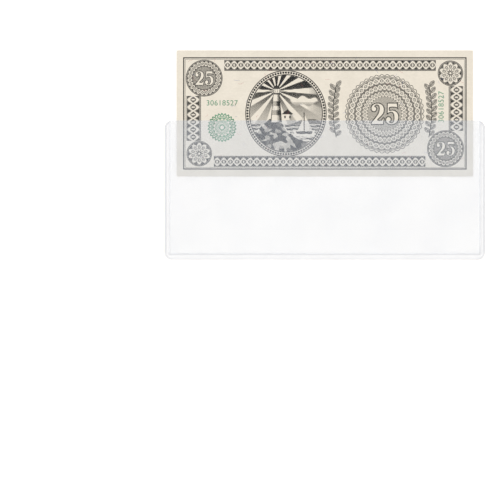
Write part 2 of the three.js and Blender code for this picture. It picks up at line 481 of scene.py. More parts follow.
def ink_tree(name, labels, course, breadth=None, ring=False):
    """A tree that lays ridges of ink side by side, in millimetres. labels name its own sizes, course gives
    the point that a ridge reaches at a share of its length, and breadth how full its width is there, from 0
    to 1. A ridge is a closed solid with three sides, and its ends have caps, unless it is a ring."""
    tree = bpy.data.node_groups.new(name, "GeometryNodeTree")
    tree.interface.new_socket("Geometry", in_out="OUTPUT", socket_type="NodeSocketGeometry")
    kinds = {"Strands": "Int", "Steps": "Int", "Ink": "Material"}
    kinds |= dict.fromkeys((*labels, "Line Width", "Surface Height", "Facing"), "Float")
    for label, kind in kinds.items():
        tree.interface.new_socket(label, in_out="INPUT", socket_type=f"NodeSocket{kind}")
    plan = Plan(tree)
    given = tree.nodes.new("NodeGroupInput")
    size = {socket.name: Value(plan, socket) for socket in given.outputs if socket.name}

    caps = 0.0 if ring else 2.0
    columns = size["Steps"] + caps
    grid = {"Size X": 1.0, "Size Y": 1.0, "Vertices X": columns, "Vertices Y": RIDGE_SIDES + 1}
    ribbon = plan.node("GeometryNodeMeshGrid", grid)
    ribbon = plan.node("GeometryNodeGeometryToInstance", {"Geometry": ribbon})
    sockets = {"Geometry": ribbon, "Amount": size["Strands"]}
    ribbons = plan.node("GeometryNodeDuplicateElements", sockets, {"domain": "INSTANCE"})
    sockets = {"Geometry": ribbons, "Name": "strand", "Value": ribbons.beside("Duplicate Index")}
    settings = {"data_type": "FLOAT", "domain": "INSTANCE"}
    ribbons = plan.node("GeometryNodeStoreNamedAttribute", sockets, settings)
    ribbons = plan.node("GeometryNodeRealizeInstances", {"Geometry": ribbons})

    strand = plan.node("GeometryNodeInputNamedAttribute", {"Name": "strand"}, {"data_type": "FLOAT"})
    flat = plan.node("ShaderNodeSeparateXYZ", {"Vector": plan.node("GeometryNodeInputPosition")})
    corner = ((flat.beside("Y") + 0.5) * RIDGE_SIDES).math("ROUND").math("MODULO", RIDGE_SIDES)
    side = corner - 1.0
    along = flat * (columns - 1.0) / (columns - 1.0 - caps) + 0.5
    along = along.math("MAXIMUM", 0.0).math("MINIMUM", 1.0)
    x, y = course(size, strand, along)
    ahead_x, ahead_y = course(size, strand, along + COURSE_STEP)
    run_x, run_y = ahead_x - x, ahead_y - y
    run = length(run_x, run_y).math("MAXIMUM", SHORTEST_RUN)
    width = size["Line Width"]
    if breadth:
        width = width * breadth(size, x, y)
    inked = width.math("GREATER_THAN", FINEST_LINE)
    if not ring:
        inked = inked * abs(flat).math("LESS_THAN", NEARLY_END)
    out = side * inked * size["Facing"] * width * 0.5 / run
    crest = CAP_HEIGHT + (1.0 - side * side - CAP_HEIGHT) * inked
    raised = crest * size["Facing"] * INK_HEIGHT + size["Surface Height"]
    sockets = {"X": (x - run_y * out) * MM, "Y": (y + run_x * out + NOTE_MIDDLE_Y) * MM, "Z": raised * MM}
    place = plan.node("ShaderNodeCombineXYZ", sockets)
    sockets = {"Geometry": ribbons, "Name": "inked", "Value": inked}
    settings = {"data_type": "FLOAT", "domain": "POINT"}
    ribbons = plan.node("GeometryNodeStoreNamedAttribute", sockets, settings)
    laid = plan.node("GeometryNodeSetPosition", {"Geometry": ribbons, "Position": place})
    drawn = plan.node("GeometryNodeInputNamedAttribute", {"Name": "inked"}, {"data_type": "FLOAT"})
    sockets = {"Geometry": laid, "Selection": drawn.math("LESS_THAN", 0.5)}
    laid = plan.node("GeometryNodeDeleteGeometry", sockets, {"domain": "FACE"})
    laid = plan.node("GeometryNodeMergeByDistance", {"Geometry": laid, "Distance": CLOSED_SEAM})
    laid = plan.node("GeometryNodeRealizeInstances", {"Geometry": laid})
    laid = plan.node("GeometryNodeSetMaterial", {"Geometry": laid, "Material": size["Ink"]})
    plan.node("NodeGroupOutput", {"Geometry": laid})
    return tree


def plain_mesh(made):
    """The mesh that an object's modifiers or text give. The object itself goes."""
    scene.collection.objects.link(made)
    evaluated = made.evaluated_get(bpy.context.evaluated_depsgraph_get())
    mesh = bpy.data.meshes.new_from_object(evaluated)
    bpy.data.objects.remove(made)
    return mesh


def ridges(tree, strands, steps, width, sizes, ink=None, back=False):
    """The ridges that a tree lays with these sizes, on the note's front or back."""
    carrier = bpy.data.objects.new(tree.name, bpy.data.meshes.new(tree.name))
    modifier = carrier.modifiers.new(tree.name, "NODES")
    modifier.node_group = tree
    surface, facing = NOTE_FACES[back]
    place = {"Surface Height": surface, "Facing": facing}
    drawn = {"Strands": strands, "Steps": steps, "Line Width": width, "Ink": ink or black_ink}
    inputs = sizes | place | drawn
    for socket in tree.interface.items_tree:
        if socket.in_out == "INPUT":
            modifier[socket.identifier] = inputs[socket.name]
    return plain_mesh(carrier)


def printed(name, ink, meshes):
    """One printed piece from several meshes, on the note."""
    joined = bmesh.new()
    for mesh in meshes:
        joined.from_mesh(mesh)
        bpy.data.meshes.remove(mesh)
    whole = bpy.data.meshes.new(name)
    joined.to_mesh(whole)
    joined.free()
    whole.shade_smooth()
    whole.set_sharp_from_angle(angle=INK_CREASE)
    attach(finished_piece(name, whole, ink), "note")


def ink_finish(name, full, thin):
    """Engraver's ink: a little thinner in places, with a dull sheen."""
    material, plan = material_plan(name)
    patches = noise(plan, INK_PATCHES, 3.0)
    sockets = {
        "Base Color": tinted(between(patches, 0.35, 0.7, 0.0, 1.0), full, thin),
        "Roughness": between(patches, 0.3, 0.7, 0.45, 0.6),
        "Specular IOR Level": 0.2,
    }
    plain_surface(plan, sockets)
    return material


black_ink = ink_finish("black_ink", BLACK, THIN_BLACK)


def band_course(size, strand, along):
    """One of the lines ruled side by side from a band's start to its end."""
    run_x, run_y = size["End X"] - size["Start X"], size["End Y"] - size["Start Y"]
    run = length(run_x, run_y)
    aside = ((strand + 0.5) / size["Strands"] * 2.0 - 1.0) * size["Half Height"]
    x = size["Start X"] + run_x * along - run_y / run * aside
    y = size["Start Y"] + run_y * along + run_x / run * aside
    return x, y


def lace(across, phase):
    """How dark a band of lace is, across it from -1 to 1: two pale waves that cross, with a pale dot in each
    eye between them."""
    sway = phase.math("SINE") * LACE_SWAY
    off = abs(across - sway).math("MINIMUM", abs(across + sway))
    from_eye = length(across, phase.math("COSINE") * 0.7)
    strand = between(off, *LACE_STRAND, 0.0, 1.0)
    dot = between(from_eye, *LACE_DOT, 0.0, 1.0)
    return strand * dot * between(abs(across), *LACE_RIM, 1.0, 0.0)


def braid_breadth(size, x, y):
    """Lace along the band."""
    run_x, run_y = size["End X"] - size["Start X"], size["End Y"] - size["Start Y"]
    off_x, off_y = x - size["Start X"], y - size["Start Y"]
    run = length(run_x, run_y)
    along = (off_x * run_x + off_y * run_y) / (run * run)
    across = (off_y * run_x - off_x * run_y) / run / size["Half Height"]
    return lace(across, along * size["Waves"] * math.tau)


band_sizes = ("Start X", "Start Y", "End X", "End Y", "Half Height")
rule_tree = ink_tree("straight_rule", band_sizes, band_course)
braid_tree = ink_tree("ruled_braid", (*band_sizes, "Waves"), band_course, braid_breadth)


def band(start, end, half_height):
    """The sizes of a band of lines from one point to another."""
    sizes = {"Start X": start[0], "Start Y": start[1], "End X": end[0], "End Y": end[1]}
    return sizes | {"Half Height": half_height}


def rule(start, end, width, **options):
    """One straight line."""
    return ridges(rule_tree, 1, RULE_STEPS, width, band(start, end, 0.0), **options)


def braid(start, end, half_height, waves, **options):
    """A band of pale braid on a ruled ground."""
    sizes = band(start, end, half_height) | {"Waves": waves}
    steps = round(math.dist(start, end) / BRAID_STEP)
    lines = round(2 * half_height / LINE_PITCH)
    return ridges(braid_tree, lines, steps, LINE_PITCH * LINE_FULLNESS, sizes, **options)


def frame_rules(half_width, half_height, width, **options):
    """Four straight rules round a rectangle."""
    long, high = half_width + width / 2, half_height + width / 2
    return [
        rule((-long, half_height), (long, half_height), width, **options),
        rule((-long, -half_height), (long, -half_height), width, **options),
        rule((-half_width, -high), (-half_width, high), width, **options),
        rule((half_width, -high), (half_width, high), width, **options),
    ]


border = frame_rules(*FRAME_HALF_SIZE, width=0.6) + frame_rules(*INNER_FRAME_HALF_SIZE, width=0.16)
border += [braid(start, end, half_height=2.6, waves=16.0) for start, end in LONG_BANDS]
border += [braid(start, end, half_height=3.6, waves=3.0) for start, end in SIDE_BANDS]
border += [rule(start, end, width=0.34) for start, end in BORDER_RULES]
printed("border_lacework", black_ink, border)

# Rosettes.
# Lathe-work roundels of fine rings that thin out to leave pale lace, edged with plain or pointed rings. The
# large one and two in the corners have a dark middle for a numeral. Two small ones fill the other corners.
BIG_COUNTER = (31.5, -0.2)
CORNER_COUNTERS = ((-63.6, 18.6), (63.6, -18.6))
CORNER_FLOWERS = ((66.2, 21.2), (-66.2, -21.2))
STEPS_A_LOBE = 16
STEPS_A_POINT = 8
PLAIN_RING_STEPS = 96


def rosette_course(size, strand, along):
    """One of the rings of a rosette."""
    reach = size["First"] + (size["Outer"] - size["First"]) * (strand + 0.5) / size["Strands"]
    angle = along * math.tau
    return size["Centre X"] + reach * angle.math("COSINE"), size["Centre Y"] + reach * angle.math("SINE")


def rosette_breadth(size, x, y):
    """Bands of lace round a middle that is even."""
    off_x, off_y = x - size["Centre X"], y - size["Centre Y"]
    reach = length(off_x, off_y)
    phase = off_y.math("ARCTAN2", off_x) * size["Lobes"]
    rank = (reach - size["Inner"]) / (size["Outer"] - size["Inner"]) * size["Bands"]
    dark = lace(rank.math("FRACT") * 2.0 - 1.0, phase + rank.math("FLOOR") * (math.pi / 2))
    return dark + (size["Middle"] - dark) * between(reach - size["Inner"], -0.1, 0.1, 1.0, 0.0)


def edging_course(size, strand, along):
    """A ring or an oval, with a row of points if it has depth."""
    angle = along * math.tau
    reach = size["Radius"] + (along * size["Points"]).math("PINGPONG", 0.5) * 2.0 * size["Depth"]
    x = size["Centre X"] + reach * angle.math("COSINE")
    y = size["Centre Y"] + reach * angle.math("SINE") * size["Tallness"]
    return x, y


rosette_sizes = ("Centre X", "Centre Y", "First", "Inner", "Outer", "Lobes", "Bands", "Middle")
rosette_tree = ink_tree("ringed_rosette", rosette_sizes, rosette_course, rosette_breadth, ring=True)
edging_sizes = ("Centre X", "Centre Y", "Radius", "Depth", "Points", "Tallness")
edging_tree = ink_tree("round_edging", edging_sizes, edging_course, ring=True)


def rosette(centre, inner, outer, lobes, bands=1, middle=0.0, fullness=LINE_FULLNESS, **options):
    """Bands of lace between two radii, round an open middle or an even one."""
    first = 0.0 if middle else inner
    sizes = {"Centre X": centre[0], "Centre Y": centre[1], "First": first, "Inner": inner, "Outer": outer}
    sizes |= {"Lobes": float(lobes), "Bands": float(bands), "Middle": middle}
    rings = round((outer - first) / LINE_PITCH)
    steps = lobes * STEPS_A_LOBE + 1
    return ridges(rosette_tree, rings, steps, LINE_PITCH * fullness, sizes, **options)


def edging(centre, radius, width, depth=0.0, points=0, tall=1.0, **options):
    """A plain ring, or one of points that stand out by depth."""
    sizes = {"Centre X": centre[0], "Centre Y": centre[1], "Radius": radius, "Depth": depth}
    sizes |= {"Points": float(points), "Tallness": tall}
    steps = max(PLAIN_RING_STEPS, points * STEPS_A_POINT) + 1
    return ridges(edging_tree, 1, steps, width, sizes, **options)


large_rosette = [
    rosette(BIG_COUNTER, inner=8.6, outer=19.2, lobes=18, bands=3, middle=0.6, fullness=0.78),
    edging(BIG_COUNTER, radius=19.6, width=0.3),
    edging(BIG_COUNTER, radius=20.0, width=0.3, depth=0.9, points=44),
]
printed("large_rosette", black_ink, large_rosette)
corner_rosettes = []
for counter in CORNER_COUNTERS:
    corner_rosettes += [
        rosette(counter, inner=6.0, outer=9.2, lobes=12, middle=0.66),
        edging(counter, radius=9.5, width=0.36),
    ]
for flower in CORNER_FLOWERS:
    corner_rosettes += [
        rosette(flower, inner=0.6, outer=6.2, lobes=5),
        edging(flower, radius=6.5, width=0.36),
    ]
printed("corner_rosettes", black_ink, corner_rosettes)

# Harbour vignette.
# An engraved picture in an upright oval: a lighthouse on a headland, with its keeper's cottage, the open sea
# and a small boat. Its tones come from fine ruled lines that swell where the picture is dark.
VIGNETTE = (-20.5, 0.0)
VIGNETTE_HALF_WIDTH = 19.0
VIGNETTE_HALF_HEIGHT = 20.2
HORIZON = -5.5
SKY_TOP = 20.0
TOWER_X = -5.0
TOWER_FOOT = -4.6
TOWER_TOP = 10.2
LANTERN_HALF_WIDTH = 1.35
LANTERN_FOOT = 10.7
LANTERN_TOP = 13.0
LAMP_Y = 11.9
BEAMS = 14.0
CLOUD = (9.5, 6.4)
COTTAGE_X = 0.8
COTTAGE_HALF_WIDTH = 2.4
MAST_X = 9.6
WATERLINE = -9.5
HILLS = ((14.0, 5.0, 2.6), (7.5, 3.0, 1.3))
HEADLAND_X = -7.0
HEADLAND_HALF_WIDTH = 9.0
HEADLAND_RISE = 12.0
HEADLAND_FOOT = -15.0
BEADS = 92
BEAD_RADIUS = 0.3
BEADS_OUT = 1.3


class Picture:
    """A picture while it is drawn: how dark it is at a point, from 0 to 1."""

    def __init__(self):
        self.tone = 0.0

    def paint(self, mask, tone):
        """Lays a tone over what is drawn so far."""
        self.tone = self.tone + (tone - self.tone) * mask.math("MINIMUM", 1.0)


def below(value, limit, soft=0.12):
    """A mask that is 1 while a value is under a limit."""
    return between(value, limit - soft, limit + soft, 1.0, 0.0)


def within(value, low, high, soft=0.12):
    """A mask that is 1 while a value lies between two limits."""
    return between(value, low - soft, low + soft, 0.0, 1.0) * below(value, high, soft)


def draw_sky(picture, x, y):
    """Evening sky, darker towards the top, with the lamp's beams across it and a bank of cloud."""
    from_lamp = length(x - TOWER_X, y - LAMP_Y)
    ray = ((y - LAMP_Y).math("ARCTAN2", x - TOWER_X) * BEAMS).math("COSINE")
    beams = between(ray, 0.0, 0.55, 0.0, 0.95) * between(from_lamp, 13.0, 26.0, 1.0, 0.15)
    picture.tone = between(y, HORIZON, SKY_TOP, 0.42, 1.0) * (1.0 - beams)
    puff_x, puff_y = (x - CLOUD[0]) / 7.5, (y - CLOUD[1] - (x * 0.9).math("SINE") * 0.7) / 2.3
    cloud = below(puff_x * puff_x + puff_y * puff_y, 0.9, 0.2)
    picture.paint(cloud, between(y, 4.4, 7.6, 0.5, 0.03))


def mound(x, middle, half_width):
    """A bell-shaped rise, 1 at its middle."""
    away = (x - middle) / half_width
    return (away * away * -1.0).math("EXPONENT")


def draw_sea(picture, x, y):
    """Long swells up to the horizon, with hills on the far shore."""
    shore = HORIZON
    for middle, half_width, rise in HILLS:
        shore = mound(x, middle, half_width) * rise + shore
    picture.paint(below(y, shore), 0.7)
    swell = (y * 3.6 + (x * 0.32 + y * 0.5).math("SINE") * 1.1).math("SINE")
    picture.paint(below(y, HORIZON), between(swell, -0.9, 0.9, 0.3, 0.86))


def headland_height(x):
    """How high the headland stands at a place along the shore."""
    return mound(x, HEADLAND_X, HEADLAND_HALF_WIDTH) * HEADLAND_RISE + HEADLAND_FOOT


def draw_headland(picture, x, y):
    """Rocks that rise out of the foam, broken into flat faces that are lit or in shade."""
    place = {"X": x * 0.5 + y * 0.24, "Y": y * 0.44 - x * 0.12}
    sockets = {"Vector": x.plan.node("ShaderNodeCombineXYZ", place), "Scale": 1.0}
    face = x.plan.node("ShaderNodeTexVoronoi", sockets, {"voronoi_dimensions": "2D"}, out="Color")
    crest = headland_height(x) + (face - 0.5) * 2.4
    picture.paint(within(y - crest, 0.0, 1.0, 0.2) * below(y, HORIZON - 0.5), 0.02)
    picture.paint(below(y, crest), between(face, 0.15, 0.8, 0.34, 1.0))


def draw_cottage(picture, x, y):
    """The keeper's cottage: lit wall, steep roof, two windows."""
    x = x - COTTAGE_X
    wall = within(x, -COTTAGE_HALF_WIDTH, COTTAGE_HALF_WIDTH) * within(y, -3.6, -0.4)
    picture.paint(wall, between(x, 0.9, 1.2, 0.05, 0.5))
    eaves = abs(x) + (y - 1.9) * 1.2
    picture.paint(below(eaves, 0.3) * within(y, -0.5, 2.6), 1.0)
    windows = abs(abs(x) - 1.3)
    picture.paint(below(windows, 0.4) * within(y, -2.4, -1.3), 1.0)


def draw_tower(picture, x, y):
    """The lighthouse: a tapered tower with two painted bands, a gallery, the lantern and its dome."""
    x = x - TOWER_X
    across = x / ((y + 3.0) * -0.085 + 2.75)
    upright = within(y, TOWER_FOOT, TOWER_TOP)
    bands = within(y, -1.0, 1.6) + within(y, 4.0, 6.4)
    shade = between(across, -0.3, 0.9, 0.02, 0.8) + bands * 0.45
    picture.paint(below(abs(across), 1.0, 0.06) * upright, shade)
    picture.paint(within(across, -1.08, -0.94, 0.04) * upright, 0.9)
    gallery = within(y, 10.1, LANTERN_FOOT) + within(y, 11.05, 11.25, 0.06)
    picture.paint(within(x, -2.5, 2.5) * gallery, 1.0)
    lantern = within(x, -LANTERN_HALF_WIDTH, LANTERN_HALF_WIDTH)
    bars = within((x + LANTERN_HALF_WIDTH).math("MODULO", 0.9), 0.0, 0.2, 0.05)
    picture.paint(lantern * within(y, LANTERN_FOOT, LANTERN_TOP), bars * 0.9)
    dome = below(length(x * 0.58, (y - LANTERN_TOP) * 0.63), 1.0, 0.05)
    dome = dome * between(y, LANTERN_TOP - 0.1, LANTERN_TOP + 0.1, 0.0, 1.0)
    spike = within(x, -0.16, 0.16, 0.05) * within(y, 14.3, 16.4)
    picture.paint(dome + spike, 1.0)


def draw_boat(picture, x, y):
    """A small boat with two pale sails, and bright water round its hull."""
    x = x - MAST_X
    picture.paint(within(x, -5.6, 5.6, 0.9) * within(y, -12.2, -9.0, 0.3), 0.06)
    mainsail = within(x, 0.3, 4.2) * below(x * 1.9 + y, -0.4)
    jib = within(x, -3.2, -0.3) * below(x * -2.2 + y, -1.6)
    picture.paint((mainsail + jib) * within(y, -9.0, 0.0), between(x, 0.6, 4.0, 0.0, 0.35))
    hull = below(abs(x) - y * 0.5, 9.2, 0.2) * within(y, -10.8, WATERLINE)
    mast = within(x, -0.22, 0.18, 0.06) * within(y, WATERLINE, 0.6)
    picture.paint(hull + mast, 1.0)


def harbour_tone(x, y):
    """How dark the picture is, from 0 to 1, at a point in millimetres from the oval's middle."""
    picture = Picture()
    for draw in (draw_sky, draw_sea, draw_headland, draw_cottage, draw_tower, draw_boat):
        draw(picture, x, y)
    oval = length(x / VIGNETTE_HALF_WIDTH, y / VIGNETTE_HALF_HEIGHT)
    return picture.tone * between(oval, 0.99, 1.0, 1.0, 0.0)


def hatch_course(size, strand, along):
    """One ruled line of the oval, at a slant, that rises and falls where it draws the sea."""
    run = (along * 2.0 - 1.0) * VIGNETTE_HALF_HEIGHT
    rank = ((strand + 0.5) / size["Strands"] * 2.0 - 1.0) * VIGNETTE_HALF_HEIGHT
    cosine, sine = size["Slant"].math("COSINE"), size["Slant"].math("SINE")
    x, y = run * cosine - rank * sine, run * sine + rank * cosine
    wave = (x * 1.5 + strand * 1.9).math("SINE") * between(y, HORIZON - 1.5, HORIZON, 0.16, 0.0)
    wave = wave * between(y - headland_height(x), 0.0, 1.5, 0.0, 1.0)
    return x + VIGNETTE[0], y + wave * size["Sea"] + VIGNETTE[1]


def hatch_breadth(size, x, y):
    """The line fills out where the picture is darker than the hatch's own threshold."""
    tone = harbour_tone(x - VIGNETTE[0], y - VIGNETTE[1])
    return between(tone, size["Threshold"], 1.0, 0.0, 1.0)


def bead_course(size, strand, along):
    """A small ring on the oval, one of a row of beads."""
    angle, turn = strand / size["Strands"] * math.tau, along * math.tau
    out_x, out_y = VIGNETTE_HALF_WIDTH + BEADS_OUT, VIGNETTE_HALF_HEIGHT + BEADS_OUT
    x = VIGNETTE[0] + angle.math("COSINE") * out_x + turn.math("COSINE") * BEAD_RADIUS
    y = VIGNETTE[1] + angle.math("SINE") * out_y + turn.math("SINE") * BEAD_RADIUS
    return x, y


hatch_tree = ink_tree("swelling_hatch", ("Slant", "Sea", "Threshold"), hatch_course, hatch_breadth)
bead_tree = ink_tree("bead_row", (), bead_course, ring=True)
oval_shape = VIGNETTE_HALF_HEIGHT / VIGNETTE_HALF_WIDTH
level_lines = {"Slant": 0.0, "Sea": 1.0, "Threshold": 0.0}
crossing_lines = {"Slant": 1.0, "Sea": 0.0, "Threshold": 0.5}
vignette = [
    ridges(hatch_tree, strands=94, steps=360, width=0.42, sizes=level_lines),
    ridges(hatch_tree, strands=66, steps=300, width=0.34, sizes=crossing_lines),
    edging(VIGNETTE, radius=VIGNETTE_HALF_WIDTH + 0.2, width=0.5, tall=oval_shape),
    edging(VIGNETTE, radius=VIGNETTE_HALF_WIDTH + 2.2, width=0.45, tall=oval_shape),
    ridges(bead_tree, strands=BEADS, steps=13, width=0.55, sizes={}),
]
printed("harbour_vignette", black_ink, vignette)

# Numerals.
# The note's value stands in the rosettes as pale numerals with a dark outline. They are left open in the
# plate, so that the paper shows.
CORNERS_OF_TWO = (0, 1, 2, 3, 32)
TWO = (
    (0.03, 0.0), (0.585, 0.0), (0.625, 0.27), (0.585, 0.27), (0.55, 0.185), (0.47, 0.155), (0.37, 0.155),
    (0.312, 0.19), (0.328, 0.25), (0.39, 0.305), (0.49, 0.40), (0.595, 0.54), (0.625, 0.71), (0.585, 0.87),
    (0.47, 0.97), (0.32, 1.0), (0.16, 0.965), (0.055, 0.87), (0.03, 0.75), (0.06, 0.66), (0.14, 0.62),
    (0.225, 0.655), (0.255, 0.735), (0.225, 0.81), (0.165, 0.845), (0.20, 0.92), (0.29, 0.955),
    (0.385, 0.915), (0.425, 0.82), (0.425, 0.70), (0.385, 0.54), (0.245, 0.32), (0.03, 0.06),
)
CORNERS_OF_FIVE = (0, 1, 2, 35)
FIVE = (
    (0.105, 1.0), (0.545, 1.0), (0.575, 0.80), (0.50, 0.835), (0.20, 0.835), (0.168, 0.822), (0.16, 0.79),
    (0.155, 0.70), (0.172, 0.65), (0.22, 0.643), (0.32, 0.66), (0.47, 0.62), (0.585, 0.50), (0.62, 0.335),
    (0.575, 0.15), (0.45, 0.03), (0.285, -0.012), (0.14, 0.02), (0.045, 0.11), (0.025, 0.215), (0.06, 0.30),
    (0.14, 0.335), (0.22, 0.30), (0.25, 0.22), (0.22, 0.145), (0.165, 0.11), (0.205, 0.06), (0.285, 0.035),
    (0.375, 0.085), (0.425, 0.20), (0.43, 0.37), (0.40, 0.51), (0.335, 0.585), (0.255, 0.60), (0.175, 0.575),
    (0.10, 0.53),
)
DIGIT_GAP = 0.09
CURVE_STEPS = 4
OUTLINE_LIFT = 0.012
BODY_LIFT = 0.018
NUMERALS = ((BIG_COUNTER, 10.8, 0.48), *((counter, 7.2, 0.31) for counter in CORNER_COUNTERS))


def ink_slab(curve, centre, spread=0.0, lift=0.0, turn=0.0, back=False):
    """A flat curve as a thin slab on the paper, in millimetres. spread fattens it, and lift raises it."""
    curve.offset = spread
    curve.extrude = INK_HEIGHT / 2
    mesh = plain_mesh(bpy.data.objects.new("slab", curve))
    cosine, sine = math.cos(math.radians(turn)), math.sin(math.radians(turn))
    surface, facing = NOTE_FACES[back]
    for vertex in mesh.vertices:
        x, y, z = vertex.co
        across, up = x * cosine - y * sine, x * sine + y * cosine
        level = surface + facing * (lift + z)
        vertex.co = ((centre[0] + facing * across) * MM, (centre[1] + up + NOTE_MIDDLE_Y) * MM, level * MM)
    return mesh


def value_curve(height):
    """The two numerals of the note's value, side by side about their middle."""
    curve = bpy.data.curves.new("value", "CURVE")
    curve.dimensions = "2D"
    curve.fill_mode = "BOTH"
    width = (max(x for x, y in TWO) + max(x for x, y in FIVE) + DIGIT_GAP) * height
    left = -width / 2
    for outline, corners in ((TWO, CORNERS_OF_TWO), (FIVE, CORNERS_OF_FIVE)):
        loop = curve.splines.new("BEZIER")
        loop.use_cyclic_u = True
        loop.resolution_u = CURVE_STEPS
        loop.bezier_points.add(len(outline) - 1)
        for place, (x, y) in enumerate(outline):
            point = loop.bezier_points[place]
            point.co = (left + x * height, (y - 0.5) * height, 0.0)
            kind = "VECTOR" if place in corners else "AUTO"
            point.handle_left_type = kind
            point.handle_right_type = kind
        left += (max(x for x, y in outline) + DIGIT_GAP) * height
    return curve


outlines, bodies = [], []
for centre, height, spread in NUMERALS:
    outlines.append(ink_slab(value_curve(height), centre, spread, OUTLINE_LIFT))
    bodies.append(ink_slab(value_curve(height), centre, lift=BODY_LIFT))
printed("numeral_outlines", black_ink, outlines)
printed("numeral_bodies", paper_finish, bodies)

# Seal and serial number.
# A second plate prints the seal, a toothed disc of fine lathe work, and the serial number, in green, after
# the black has dried. The number stands upright at the left and on end at the right.
SERIAL_DIGITS = "30618527"
SERIAL_HEIGHT = 2.9
SERIAL_SPACING = 1.06
DIGIT_SHARE_OF_SIZE = 0.73
UPRIGHT_SERIAL = (-54.2, 5.4)
TURNED_SERIAL = (61.4, 3.4)
SEAL = (-54.2, -7.4)
GREEN = (0.07, 0.25, 0.13, 1.0)
THIN_GREEN = (0.12, 0.34, 0.20, 1.0)


def serial_curve():
    """The row of plain digits about its middle."""
    curve = bpy.data.curves.new("digits", "FONT")
    curve.body = SERIAL_DIGITS
    curve.size = SERIAL_HEIGHT / DIGIT_SHARE_OF_SIZE
    curve.align_x = "CENTER"
    curve.align_y = "CENTER"
    curve.space_character = SERIAL_SPACING
    return curve


green_ink = ink_finish("green_ink", GREEN, THIN_GREEN)
seal = [
    edging(SEAL, radius=6.1, width=0.5, depth=1.5, points=26, ink=green_ink),
    edging(SEAL, radius=5.7, width=0.4, ink=green_ink),
    rosette(SEAL, inner=1.0, outer=5.2, lobes=7, ink=green_ink),
]
printed("green_seal", green_ink, seal)
serials = [ink_slab(serial_curve(), UPRIGHT_SERIAL), ink_slab(serial_curve(), TURNED_SERIAL, turn=90.0)]
printed("serial_digits", green_ink, serials)

# Laurel sprays.
# Two engraved branches stand either side of the large rosette, their leaves by turns left and right of a
# bowed stem, each leaf drawn as a few outlines one inside the other.
LEAF_LINES = 3
LEAVES = 17
LEAF_TILT = 0.85
LEAF_STEPS = 22
STEM_STEPS = 40
SPRAY = {"Foot Y": -12.6, "Rise": 27.4, "Leaf Length": 4.2}
SPRAY_FEET = ((54.8, 1.6), (6.0, -1.6))


def stem_course(size, strand, along):
    """The stem, bowed to one side."""
    bow = (along * math.pi).math("SINE") * size["Bow"]
    return size["Foot X"] + bow, size["Foot Y"] + along * size["Rise"]


def leaf_course(size, strand, along):
    """One of the outlines of a leaf."""
    leaf = (strand / LEAF_LINES).math("FLOOR")
    nested = strand - leaf * LEAF_LINES
    share = (leaf + 0.6) / (LEAVES + 0.2)
    foot_x, foot_y = stem_course(size, strand, share)
    hand = 1.0 - leaf.math("MODULO", 2.0) * 2.0
    reach = (along * 2.0).math("PINGPONG", 1.0) * 0.98 + 0.02
    out = (reach * (1.0 - nested * 0.2) + nested * 0.1) * size["Leaf Length"]
    bulge = (0.5 - along).math("SIGN") * reach * (1.0 - reach) * (1.0 - nested * 0.46) * size["Leaf Length"]
    rise = 0.8 + share * 0.32
    x = foot_x + hand * (out * math.cos(LEAF_TILT) + bulge * math.sin(LEAF_TILT))
    y = foot_y + out * math.sin(LEAF_TILT) * rise - bulge * math.cos(LEAF_TILT)
    return x, y


spray_sizes = ("Foot X", "Foot Y", "Rise", "Bow", "Leaf Length")
leaf_tree = ink_tree("laurel_leaves", spray_sizes, leaf_course)
stem_tree = ink_tree("laurel_stem", spray_sizes, stem_course)
sprays = []
for foot_x, bow in SPRAY_FEET:
    spray = SPRAY | {"Foot X": foot_x, "Bow": bow}
    sprays.append(ridges(leaf_tree, LEAVES * LEAF_LINES, LEAF_STEPS, 0.24, spray))
    sprays.append(ridges(stem_tree, 1, STEM_STEPS, 0.4, spray))
printed("laurel_sprays", black_ink, sprays)

# Silk fibres.
# Short threads of red and blue silk are strewn through the pulp when the paper is made. They lie at random,
# bowed and at all angles, in both of its faces.
FIBRES_A_SIDE = 46
FIBRE_STEPS = 7
FIBRE_WIDTH = 0.08
FIBRE_MARGIN = 3.0
BACK_SEED_STEP = 1000.0
SILKS = {
    "red": (41.0, (0.42, 0.06, 0.07, 1.0), (0.55, 0.12, 0.12, 1.0)),
    "blue": (541.0, (0.06, 0.09, 0.32, 1.0), (0.12, 0.17, 0.45, 1.0)),
}


def fibre_course(size, strand, along):
    """A short bowed thread at a random place and angle."""

    def chance(key):
        draw = strand * 7.0 + size["Seed"] + key
        return strand.plan.node("ShaderNodeTexWhiteNoise", {"W": draw}, {"noise_dimensions": "1D"})

    x = (chance(0.3) * 2.0 - 1.0) * (NOTE_HALF_WIDTH - FIBRE_MARGIN)
    y = (chance(1.3) * 2.0 - 1.0) * (NOTE_HALF_HEIGHT - FIBRE_MARGIN)
    angle = chance(2.3) * math.tau + (along - 0.5) * (chance(3.3) * 2.4 - 1.2)
    run = (along - 0.5) * (chance(4.3) * 2.0 + 1.2)
    return x + run * angle.math("COSINE"), y + run * angle.math("SINE")


fibre_tree = ink_tree("silk_fibres", ("Seed",), fibre_course)
for hue, (seed, full, thin) in SILKS.items():
    silk = ink_finish(f"{hue}_silk", full, thin)
    threads = []
    for back in (False, True):
        sizes = {"Seed": seed + back * BACK_SEED_STEP}
        threads.append(ridges(fibre_tree, FIBRES_A_SIDE, FIBRE_STEPS, FIBRE_WIDTH, sizes, silk, back))
    printed(f"{hue}_fibres", silk, threads)

